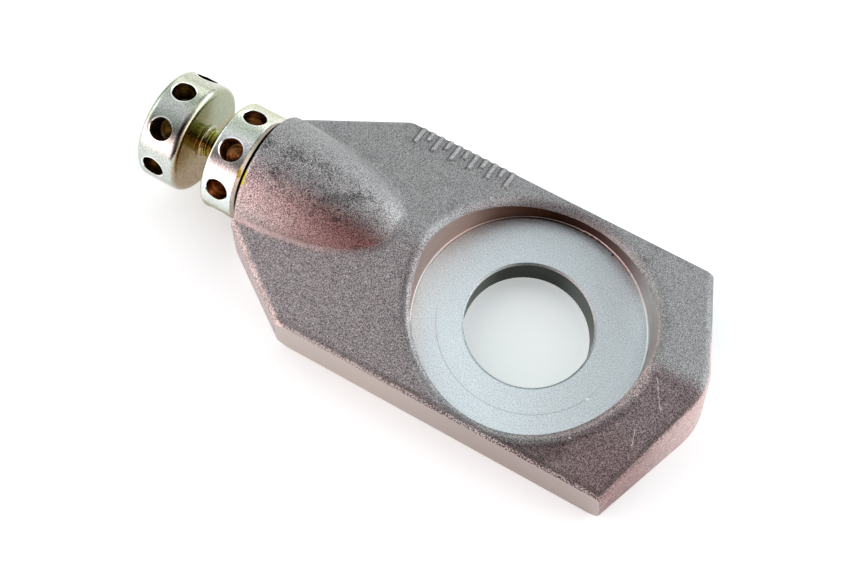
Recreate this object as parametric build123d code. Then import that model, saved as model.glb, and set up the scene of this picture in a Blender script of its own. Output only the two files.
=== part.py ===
from build123d import *
import math
import os

# Motorcycle chain adjuster: a cast block, a tommy-bar bolt and a round lock nut.
# Frame: origin on the axle-hole axis at the back face, +X from the bolt to the nose, +Z out of the top.
# Lengths are in millimetres and angles in degrees.

# Block: overall form
block_width = 50.0          # across the two machined long sides
boss_reach = 57.8           # axle axis to the machined face under the lock nut
nose_reach = 36.7           # axle axis to the rounded tip of the nose, at the back face
ridge_height = 19.25        # back face to the line where the two roof planes meet
eaves_height = 10.75        # back face to the top edge of the machined long sides
ridge_radius = 5.0          # rounding along the ridge
neck_margin = 1.37          # block left beyond the boss on each side, at the boss face
taper_angle = 34.9          # tapered walls beside the boss, from the long axis
taper_draft = 1.5           # casting draft of the tapered walls
nose_angle = 21.0           # nose walls, from square across
nose_radius = 15.0          # plan rounding of the nose tip
nose_draft = 9.0            # casting draft of the nose walls
cast_edge_radius = 2.0      # rounded top edges of the cast walls
cast_base_radius = 2.0      # rounded back edges of the cast walls
machining_stock = 4.0       # casting material that is machined off the long sides

# Block: axle hole and recess
axle_hole_diameter = 25.0
axle_hole_chamfer = 0.4     # round the hole's edge in the recess floor
recess_diameter = 45.6
floor_thickness = 6.45      # metal left under the recess
recess_cove_radius = 0.5    # cove where the recess wall meets its floor
lip_radius = 2.3            # cast rounding round the mouth of the recess
lip_trim = 0.4              # how far the machined recess cuts into that rounding

# Block: boss round the bolt
bolt_axis_height = 12.87
boss_radius = 12.2          # at the boss face
boss_length = 33.3          # boss face to the buried tip of the bullet form
boss_foot_radius = 1.8      # fillet where the boss runs into the roof
boss_face_radius = 0.8      # rounded edge of the boss face
drill_point_angle = 118.0

# Block: raised scale on the far side of the roof
scale_ribs = 11
scale_pitch = 2.0
scale_first_x = -36.8
scale_rib_width = 1.1
scale_rib_height = 0.35
scale_rib_draft = 25.0
scale_long = 4.9            # along the roof, from the machined side
scale_short = 3.0

# Thread, made as a plain fit at its nominal diameter
thread_diameter = 6.0
thread_clearance = 0.05     # radial, between the shank and both threaded holes

# Lock nut
nut_diameter = 22.0
nut_thickness = 8.3
nut_seat_chamfer = 0.6      # towards the boss
nut_land_diameter = 16.0    # raised land that bears on the boss face
nut_land_height = 0.9
nut_edge_radius = 0.6       # away from the boss
nut_seat_gap = 0.05         # between the nut and the boss face

# Adjuster bolt
head_diameter = 22.3
head_thickness = 8.7
head_gap = 5.8              # lock nut to the head, as the bolt is set
head_edge_radius = 1.3
neck_fillet = 0.8           # under the head
shank_length = 37.2         # under the head
shank_tip_chamfer = 0.8
tip_room = 1.1              # left in the tapped hole when the head meets the nut

# Tommy-bar holes in the nut and the head
tommy_holes = 8
tommy_diameter = 4.5
tommy_depth = 4.8
tommy_countersink = 0.2
head_tommy_turn = -12.5     # first hole, from straight up towards the near side
head_tommy_shift = 0.4      # outwards from the middle of the head
nut_tommy_turn = 18.6
nut_tommy_shift = 0.55

# Derived places
half_width = block_width / 2
blank_half_width = half_width + machining_stock
roof_slope = (ridge_height - eaves_height) / half_width
shank_radius = thread_diameter / 2
threaded_hole_radius = shank_radius + thread_clearance
tapped_hole_depth = shank_length - nut_thickness - nut_seat_gap + tip_room
nut_inner_x = -boss_reach - nut_seat_gap
nut_outer_x = nut_inner_x - nut_thickness
head_inner_x = nut_outer_x - head_gap
head_outer_x = head_inner_x - head_thickness
bolt_axis = Axis((0, 0, bolt_axis_height), (1, 0, 0))
beyond = 2 * (boss_reach + nose_reach + block_width)   # longer than the whole block
tiny = 0.01


def drill(diameter, depth):
    # A drilled hole from Z = 0 downwards: the full diameter to the depth, then the drill's point
    radius = diameter / 2
    point = radius / math.tan(math.radians(drill_point_angle / 2))
    barrel = Pos(0, 0, -depth / 2) * Cylinder(radius, depth)
    tip = Pos(0, 0, -depth - point / 2) * Cone(tiny, radius, point)
    return barrel + tip


def gabled_bar():
    # Two roof planes over the whole blank, with a rounded ridge
    eaves = ridge_height - roof_slope * blank_half_width
    gable = make_face(Polyline(
        (-blank_half_width, 0), (blank_half_width, 0), (blank_half_width, eaves),
        (0, ridge_height), (-blank_half_width, eaves), close=True))
    gable = fillet(gable.vertices().sort_by(Axis.Y)[-1], ridge_radius)
    return extrude(Plane.YZ * gable, beyond / 2, both=True)


def nose_cutter():
    # Plan with two slanting walls and a rounded tip towards +X, drafted inwards as it rises
    tip = nose_reach + nose_radius * (1 / math.cos(math.radians(nose_angle)) - 1)
    back = tip - beyond * math.tan(math.radians(nose_angle))
    plan = make_face(Polyline(
        (tip, 0), (back, beyond), (back - beyond, beyond),
        (back - beyond, -beyond), (back, -beyond), close=True))
    plan = fillet(plan.vertices().sort_by(Axis.X)[-1], nose_radius)
    return extrude(plan, ridge_height + machining_stock, taper=nose_draft)


def taper_cutter():
    # Plan with two walls that close in towards the boss face and past it, drafted inwards as they rise
    rate = math.tan(math.radians(taper_angle))
    end_x = -boss_reach - machining_stock
    end_half = boss_radius + neck_margin - machining_stock * rate
    wide_x = end_x + (beyond - end_half) / rate
    plan = make_face(Polyline(
        (end_x, -end_half), (wide_x, -beyond), (wide_x + beyond, -beyond),
        (wide_x + beyond, beyond), (wide_x, beyond), (end_x, end_half), close=True))
    return extrude(plan, ridge_height + machining_stock, taper=taper_draft)


def cast_blank():
    # The gabled bar cut to plan, its cast edges rounded and its boss end cut square
    blank = gabled_bar() & nose_cutter() & taper_cutter()

    def is_cast_top_edge(edge):
        middle = edge @ 0.5
        along = edge % 0.5
        on_walls = abs(middle.Y) < blank_half_width - tiny and middle.X > -boss_reach
        return middle.Z > eaves_height / 2 and on_walls and abs(along.X) < 1 - tiny and abs(along.Z) < 0.8

    def is_cast_base_edge(edge):
        middle = edge @ 0.5
        return middle.Z < tiny and abs(middle.Y) < blank_half_width - tiny and middle.X > -boss_reach

    blank = fillet(blank.edges().filter_by(is_cast_top_edge), cast_edge_radius)
    blank = fillet(blank.edges().filter_by(is_cast_base_edge), cast_base_radius)
    return blank & Pos(beyond / 2 - boss_reach, 0, 0) * Box(beyond, beyond, beyond)


def boss():
    # Upper half of a bullet form round the bolt axis: a quarter ellipse turned about that axis
    start = (-boss_reach, bolt_axis_height)
    quarter = EllipticalCenterArc(start, boss_length, boss_radius, arc_size=90)
    sides = Polyline(quarter @ 1, start, quarter @ 0)
    bullet = revolve(Plane.XZ * make_face(quarter + sides), bolt_axis, 360)
    return bullet & Pos(0, 0, bolt_axis_height + beyond / 2) * Box(beyond, beyond, beyond)


def on_boss(point):
    along = (point.X + boss_reach) / boss_length
    if not 0 < along < 1:
        return False
    radius = math.hypot(point.Y, point.Z - bolt_axis_height)
    return abs(radius - boss_radius * math.sqrt(1 - along ** 2)) < tiny


def cast_body():
    # Blank and boss, blended into each other, with the edge of the boss face rounded
    body = cast_blank() + boss()
    foot = body.edges().filter_by(lambda edge: on_boss(edge @ 0.5) and (edge @ 0.5).X > tiny - boss_reach)
    body = fillet(foot, boss_foot_radius)

    def is_boss_face_edge(edge):
        return max(abs((edge @ t).X + boss_reach) for t in (0, 0.5)) < tiny and (edge @ 0.5).Z > tiny

    return fillet(body.edges().filter_by(is_boss_face_edge), boss_face_radius)


def scale_rib(number):
    # One raised line on the far roof plane, square to the machined side, with a rounded inner end
    length = scale_long if number % 2 == 0 else scale_short
    straight = length - scale_rib_width / 2
    overrun = machining_stock / 2
    eaves = (scale_first_x + number * scale_pitch, half_width, eaves_height)
    seat = Plane(eaves, x_dir=(-1, 0, 0), z_dir=(0, roof_slope, 1))
    line = Pos(0, (straight - overrun) / 2) * Rectangle(scale_rib_width, straight + overrun)
    line += Pos(0, straight) * Circle(scale_rib_width / 2)
    raised = extrude(seat * line, scale_rib_height, taper=scale_rib_draft)
    return raised + extrude(seat * line, -scale_rib_height)


def adjuster_block():
    body = cast_body()
    for number in range(scale_ribs):
        body += scale_rib(number)

    # Machined long sides
    body &= Box(beyond, block_width, beyond)

    # Cast mouth of the recess with its rounded lip
    recess_radius = recess_diameter / 2
    mouth_radius = recess_radius - lip_trim
    floor_place = Pos(0, 0, floor_thickness)
    body -= floor_place * extrude(Circle(mouth_radius), beyond)

    def is_mouth_edge(edge):
        middle = edge @ 0.5
        on_wall = abs(math.hypot(middle.X, middle.Y) - mouth_radius) < tiny
        return on_wall and middle.Z > floor_thickness + tiny and abs((edge % 0.5).Z) < 0.8

    lip_room = half_width - mouth_radius - tiny
    body = fillet(body.edges().filter_by(is_mouth_edge), min(lip_radius, lip_room))

    # Machined recess and axle hole
    recess = extrude(Circle(recess_radius), beyond)
    body -= floor_place * fillet(recess.edges().sort_by(Axis.Z)[0], recess_cove_radius)
    hole_radius = axle_hole_diameter / 2
    body -= extrude(Circle(hole_radius), beyond, both=True)
    circles = body.edges().filter_by(GeomType.CIRCLE)
    rims = circles.filter_by(lambda rim: abs(rim.radius - hole_radius) < tiny)
    body = chamfer(rims.sort_by(Axis.Z)[-1], axle_hole_chamfer)

    # Tapped hole for the bolt
    mouth = Pos(-boss_reach, 0, bolt_axis_height) * Rot(0, -90, 0)
    return body - mouth * drill(2 * threaded_hole_radius, tapped_hole_depth)


def turned(profile):
    # A profile drawn in X and radius, turned about the bolt axis
    radial_plane = Plane((0, 0, bolt_axis_height), x_dir=(1, 0, 0), z_dir=(0, -1, 0))
    return revolve(radial_plane * profile, bolt_axis, 360)


def drill_tommy_holes(drum, drum_diameter, middle_x, first_turn):
    # Blind radial holes with countersunk mouths, spread evenly round the drum
    surface = drum_diameter / 2
    mouth_radius = tommy_diameter / 2 + tommy_countersink
    hole = Pos(0, 0, surface + tommy_countersink) * drill(tommy_diameter, tommy_depth + tommy_countersink)
    hole += Pos(0, 0, surface) * Cone(mouth_radius - tommy_countersink, mouth_radius + tommy_countersink,
                                      2 * tommy_countersink)
    for number in range(tommy_holes):
        turn = first_turn + number * 360 / tommy_holes
        drum -= Pos(middle_x, 0, bolt_axis_height) * Rot(turn, 0, 0) * hole
    return drum


def lock_nut():
    radius = nut_diameter / 2
    rim_x = nut_inner_x - nut_land_height
    land_radius = nut_land_diameter / 2
    section = make_face(Polyline(
        (nut_outer_x, threaded_hole_radius), (nut_inner_x, threaded_hole_radius),
        (nut_inner_x, land_radius), (rim_x, land_radius),
        (rim_x, radius), (nut_outer_x, radius), close=True))
    outer_corner, seat_corner = section.vertices().group_by(Axis.Y)[-1].sort_by(Axis.X)
    section = chamfer(seat_corner, nut_seat_chamfer)
    outer_corner = section.vertices().sort_by(Axis.X).group_by(Axis.X)[0].sort_by(Axis.Y)[-1]
    section = fillet(outer_corner, nut_edge_radius)
    section = chamfer(section.vertices().group_by(Axis.Y)[0], neck_fillet + 2 * thread_clearance)
    middle_x = (nut_inner_x + nut_outer_x) / 2 - nut_tommy_shift
    return drill_tommy_holes(turned(section), nut_diameter, middle_x, nut_tommy_turn)


def adjuster_bolt():
    radius = head_diameter / 2
    tip_x = head_inner_x + shank_length
    section = make_face(Polyline(
        (head_outer_x, 0), (tip_x, 0), (tip_x, shank_radius), (head_inner_x, shank_radius),
        (head_inner_x, radius), (head_outer_x, radius), close=True))
    section = fillet(section.vertices().group_by(Axis.Y)[-1], head_edge_radius)
    inside_corner = section.vertices().group_by(Axis.Y)[1].sort_by(Axis.X)[0]
    section = fillet(inside_corner, neck_fillet)
    tip_corner = section.vertices().group_by(Axis.X)[-1].sort_by(Axis.Y)[-1]
    section = chamfer(tip_corner, shank_tip_chamfer)
    middle_x = (head_inner_x + head_outer_x) / 2 - head_tommy_shift
    return drill_tommy_holes(turned(section), head_diameter, middle_x, head_tommy_turn)


pieces = {"adjuster_block": adjuster_block(), "adjuster_bolt": adjuster_bolt(), "lock_nut": lock_nut()}
os.makedirs("parts", exist_ok=True)
for name, piece in pieces.items():
    export_step(piece, f"parts/{name}.step")
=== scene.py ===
import math

import bpy
import numpy as np
from mathutils import Matrix, Vector


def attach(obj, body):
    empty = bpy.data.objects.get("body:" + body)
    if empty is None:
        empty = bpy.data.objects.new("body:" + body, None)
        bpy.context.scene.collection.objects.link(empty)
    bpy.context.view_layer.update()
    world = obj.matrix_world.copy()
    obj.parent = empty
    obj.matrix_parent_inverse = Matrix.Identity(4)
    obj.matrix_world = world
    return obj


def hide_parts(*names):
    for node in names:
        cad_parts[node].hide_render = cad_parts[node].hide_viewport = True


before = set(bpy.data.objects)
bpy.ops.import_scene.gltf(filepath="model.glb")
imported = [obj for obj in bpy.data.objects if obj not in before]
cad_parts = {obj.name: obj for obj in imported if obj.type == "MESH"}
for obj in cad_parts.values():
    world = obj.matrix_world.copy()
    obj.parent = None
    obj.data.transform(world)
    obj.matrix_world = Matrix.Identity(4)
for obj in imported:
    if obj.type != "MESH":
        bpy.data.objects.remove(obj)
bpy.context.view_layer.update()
scene = bpy.context.scene
scene.view_settings.view_transform = "Standard"
mm = 0.001
print("stage: frame loaded")


# Camera: turned about the axle hole, then slid sideways and up in its own plane
camera = {
    "azimuth": 25.56,
    "elevation": 67.18,
    "roll": 4.09,
    "distance": 232.36 * mm,
    "slideRight": -19.64 * mm,
    "slideUp": 10.31 * mm,
    "lens": 50.42,
    "sensor": 36.0,
    "clip": (0.01, 20),
}


def placeCamera(c):
    a, e, r = (math.radians(c[k]) for k in ("azimuth", "elevation", "roll"))
    back = Vector((math.sin(a) * math.cos(e), -math.cos(a) * math.cos(e), math.sin(e)))
    level = Vector((math.cos(a), math.sin(a), 0))
    upright = back.cross(level)
    right = math.cos(r) * level + math.sin(r) * upright
    up = math.cos(r) * upright - math.sin(r) * level
    place = back * c["distance"] + right * c["slideRight"] + up * c["slideUp"]
    data = bpy.data.cameras.new("photoCamera")
    data.sensor_width = c["sensor"]
    data.lens = c["lens"]
    data.clip_start, data.clip_end = c["clip"]
    obj = bpy.data.objects.new("photoCamera", data)
    scene.collection.objects.link(obj)
    obj.matrix_world = Matrix((right, up, back)).transposed().to_4x4()
    obj.location = place
    scene.camera = obj


placeCamera(camera)
print("stage: camera placed")


# Node helpers
def put(tree, kind, sockets=None, **settings):
    node = tree.nodes.new("ShaderNode" + kind)
    for key, value in settings.items():
        setattr(node, key, value)
    for key, value in (sockets or {}).items():
        if isinstance(value, bpy.types.NodeSocket):
            tree.links.new(value, node.inputs[key])
        else:
            node.inputs[key].default_value = value
    return node


def sums(tree, operation, *values):
    node = put(tree, "Math", dict(enumerate(values)), operation=operation)
    return node.outputs[0]


def blend(tree, mask, low, high, kind="MIX"):
    node = put(tree, "Mix", data_type="RGBA", blend_type=kind)
    for place, value in ((0, mask), (6, low), (7, high)):
        if isinstance(value, bpy.types.NodeSocket):
            tree.links.new(value, node.inputs[place])
        elif place:
            node.inputs[place].default_value = (*value, 1)
        else:
            node.inputs[place].default_value = value
    return node.outputs[2]


def ramp(tree, value, low, high, fromLow=0.0, toHigh=1.0, smooth=True):
    node = put(tree, "MapRange", {"Value": value, "From Min": low, "From Max": high,
                                  "To Min": fromLow, "To Max": toHigh})
    node.interpolation_type = "SMOOTHSTEP" if smooth else "LINEAR"
    return node.outputs[0]


def zone(tree, value, ends, low=0.0, high=1.0):
    return ramp(tree, value, ends[0] * mm, ends[1] * mm, low, high)


def both(tree, *masks):
    total = masks[0]
    for mask in masks[1:]:
        total = sums(tree, "MULTIPLY", total, mask)
    return total


def tinted(tree, mask, colour, tint):
    return blend(tree, mask, colour, blend(tree, 1.0, colour, tint, "MULTIPLY"))


def objectPoint(tree):
    return put(tree, "TexCoord").outputs["Object"]


def noise(tree, point, size, detail=2.0, rough=0.5):
    node = put(tree, "TexNoise", {"Vector": point, "Scale": 1 / size, "Detail": detail, "Roughness": rough})
    return node.outputs["Fac"]


def newMaterial(name):
    material = bpy.data.materials.new(name)
    material.use_nodes = True
    tree = material.node_tree
    tree.nodes.clear()
    output = put(tree, "OutputMaterial")
    shader = put(tree, "BsdfPrincipled")
    tree.links.new(shader.outputs[0], output.inputs[0])
    return material, tree, shader


def feed(tree, shader, **sources):
    for key, value in sources.items():
        tree.links.new(value, shader.inputs[key.replace("_", " ")])


def bumped(tree, height, distance, strength):
    node = put(tree, "Bump", {"Height": height, "Distance": distance, "Strength": strength})
    return node.outputs[0]


def newGroup(name, inputs, outputs):
    group = bpy.data.node_groups.new(name, "ShaderNodeTree")
    for label, kind, value in inputs:
        socket = group.interface.new_socket(label, in_out="INPUT", socket_type="NodeSocket" + kind)
        if value is not None:
            socket.default_value = value
    for label, kind in outputs:
        group.interface.new_socket(label, in_out="OUTPUT", socket_type="NodeSocket" + kind)
    start = group.nodes.new("NodeGroupInput")
    end = group.nodes.new("NodeGroupOutput")
    return group, start.outputs, end.inputs


def useGroup(tree, group, **values):
    node = tree.nodes.new("ShaderNodeGroup")
    node.node_tree = group
    for key, value in values.items():
        socket = node.inputs[key]
        if isinstance(value, bpy.types.NodeSocket):
            tree.links.new(value, socket)
        else:
            socket.default_value = value
    return node.outputs


# Shared effect: blasted grain, fine dark and light specks over shallow pits, and a mask of scattered grains
# for painted glints
def makeGrain():
    group, given, out = newGroup(
        "blastedGrain",
        [("Point", "Vector", None), ("Size", "Float", 0.0004), ("Contrast", "Float", 0.5)],
        [("Height", "Float"), ("Tone", "Float"), ("Spark", "Float")])
    scale = sums(group, "DIVIDE", 1.0, given["Size"])
    pits = put(group, "TexVoronoi", {"Vector": given["Point"], "Scale": scale, "Randomness": 1.0})
    fine = put(group, "TexNoise", {"Vector": given["Point"], "Scale": sums(group, "MULTIPLY", scale, 1.3),
                                   "Detail": 2.0, "Roughness": 0.7})
    height = sums(group, "MULTIPLY_ADD", fine.outputs[0], 0.8, pits.outputs["Distance"])
    spread = sums(group, "SUBTRACT", fine.outputs[0], 0.5)
    tone = sums(group, "MULTIPLY_ADD", spread, sums(group, "MULTIPLY", given["Contrast"], 6.0), 0.5)
    chance = put(group, "SeparateXYZ", {0: pits.outputs["Color"]}).outputs[0]
    small = ramp(group, pits.outputs["Distance"], 0.55, 0.25)
    spark = sums(group, "MULTIPLY", ramp(group, chance, 0.86, 0.97), small)
    group.links.new(height, out["Height"])
    group.links.new(put(group, "Clamp", {0: tone}).outputs[0], out["Tone"])
    group.links.new(spark, out["Spark"])
    return group


# Shared effect: cloudy staining at two sizes
def makeStain():
    group, given, out = newGroup(
        "cloudyStain",
        [("Point", "Vector", None), ("Size", "Float", 0.004), ("Amount", "Float", 0.5)],
        [("Mask", "Float"), ("Cloud", "Float")])
    scale = sums(group, "DIVIDE", 1.0, given["Size"])
    cloud = put(group, "TexNoise", {"Vector": given["Point"], "Scale": scale, "Detail": 5.0,
                                    "Roughness": 0.65})
    edge = sums(group, "SUBTRACT", 0.75, sums(group, "MULTIPLY", given["Amount"], 0.4))
    mask = put(group, "MapRange", {"Value": cloud.outputs[0], "From Min": edge,
                                   "From Max": sums(group, "ADD", edge, 0.12)})
    mask.interpolation_type = "SMOOTHSTEP"
    group.links.new(mask.outputs[0], out["Mask"])
    group.links.new(cloud.outputs[0], out["Cloud"])
    return group


# Shared effect: cutter marks, thin lines across a direction that the caller gives as one number
def makeCutterMarks():
    group, given, out = newGroup(
        "cutterMarks",
        [("Across", "Float", 0.0), ("Along", "Float", 0.0), ("Pitch", "Float", 0.0002)],
        [("Height", "Float")])
    across = sums(group, "DIVIDE", given["Across"], given["Pitch"])
    along = sums(group, "DIVIDE", given["Along"], sums(group, "MULTIPLY", given["Pitch"], 60.0))
    point = put(group, "CombineXYZ", {0: across, 1: along})
    lines = put(group, "TexNoise", {"Vector": point.outputs[0], "Scale": 1.0, "Detail": 2.0,
                                    "Roughness": 0.6})
    group.links.new(lines.outputs[0], out["Height"])
    return group


# Shared effect: a stroke between two points, or a spot where they are the same, wandering and ragged
def makeStroke():
    group, given, out = newGroup(
        "strokeMark",
        [("Point", "Vector", None), ("Start", "Vector", None), ("End", "Vector", None),
         ("Half", "Float", 0.0005), ("Ragged", "Float", 0.6)],
        [("Mask", "Float")])

    def vector(operation, first, second, output=0):
        return put(group, "VectorMath", {0: first, 1: second}, operation=operation).outputs[output]

    def scaled(source, factor):
        return put(group, "VectorMath", {0: source, "Scale": factor}, operation="SCALE").outputs[0]

    coarse = put(group, "TexNoise", {"Vector": given["Point"], "Scale": 900.0, "Detail": 2.0})
    wander = scaled(vector("SUBTRACT", coarse.outputs["Color"], (0.5, 0.5, 0.5)), 0.0011)
    point = vector("ADD", given["Point"], wander)
    scale = sums(group, "DIVIDE", 0.7, given["Half"])
    fine = put(group, "TexNoise", {"Vector": given["Point"], "Scale": scale, "Detail": 3.0,
                                   "Roughness": 0.7})
    reach = vector("SUBTRACT", given["End"], given["Start"])
    offset = vector("SUBTRACT", point, given["Start"])
    length = vector("DOT_PRODUCT", reach, reach, "Value")
    share = sums(group, "DIVIDE", vector("DOT_PRODUCT", offset, reach, "Value"), length)
    share = put(group, "Clamp", {0: share}).outputs[0]
    away = vector("DISTANCE", offset, scaled(reach, share), "Value")
    ragged = sums(group, "MULTIPLY", sums(group, "SUBTRACT", fine.outputs[0], 0.5), given["Ragged"])
    size = sums(group, "MULTIPLY_ADD", ragged, 4.0, sums(group, "DIVIDE", away, given["Half"]))
    mask = put(group, "MapRange", {"Value": size, "From Min": 1.4, "From Max": 0.6})
    mask.interpolation_type = "SMOOTHSTEP"
    group.links.new(mask.outputs[0], out["Mask"])
    return group


grainGroup = makeGrain()
strokeGroup = makeStroke()
stainGroup = makeStain()
cutterGroup = makeCutterMarks()
print("stage: shared effects made")


def marked(tree, point, marks, ragged=0.6):
    total = 0.0
    for start, end, half in marks.values():
        stroke = useGroup(tree, strokeGroup, Point=point, Start=Vector(start) * mm, End=Vector(end) * mm,
                          Half=half * mm, Ragged=ragged)
        total = sums(tree, "MAXIMUM", total, stroke["Mask"])
    return total


# Block marks: start, end and half width in millimetres
bossStains = {
    "long": ((-42.4, -3.15, 22.9), (-39.2, -1.5, 22.6), 0.9),
    "middle": ((-38.4, 0.1, 22.5), (-37.2, -0.2, 22.2), 0.9),
    "frontNear": ((-53.0, -3.5, 24.2), (-52.2, -3.7, 24.1), 0.9),
    "frontFar": ((-51.7, 0.7, 24.6), (-50.2, 0.95, 24.45), 0.8),
    "flank": ((-43.7, -6.5, 21.4), (-43.7, -6.5, 21.4), 0.6),
    "foot": ((-34.05, -6.8, 17.6), (-34.05, -6.8, 17.6), 0.6),
}
noseScratches = {
    "upper": ((25.2, -2.4, 18.43), (27.07, -5.02, 17.54), 0.14),
    "lower": ((27.07, -5.02, 17.54), (28.6, -7.1, 16.83), 0.15),
    "short": ((26.06, -11.76, 15.25), (26.81, -14.20, 14.42), 0.12),
    "nickRim": ((16.72, -18.06, 13.01), (16.9, -18.1, 13.0), 0.16),
    "nickNose": ((23.54, -6.42, 17.01), (23.7, -6.5, 17.0), 0.16),
}
paintDab = {"edge": ((-57.65, -6.0, 23.1), (-57.4, -7.6, 22.1), 0.45)}
pores = {
    "far": ((7.44, 21.26, 6.5), (7.44, 21.26, 6.5), 0.22),
    "right": ((22.18, 5.23, 8.16), (22.18, 5.23, 8.16), 0.3),
}
floorNick = {"nick": ((16.1, -7.75, 6.45), (16.5, -7.6, 6.45), 0.2)}

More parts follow.
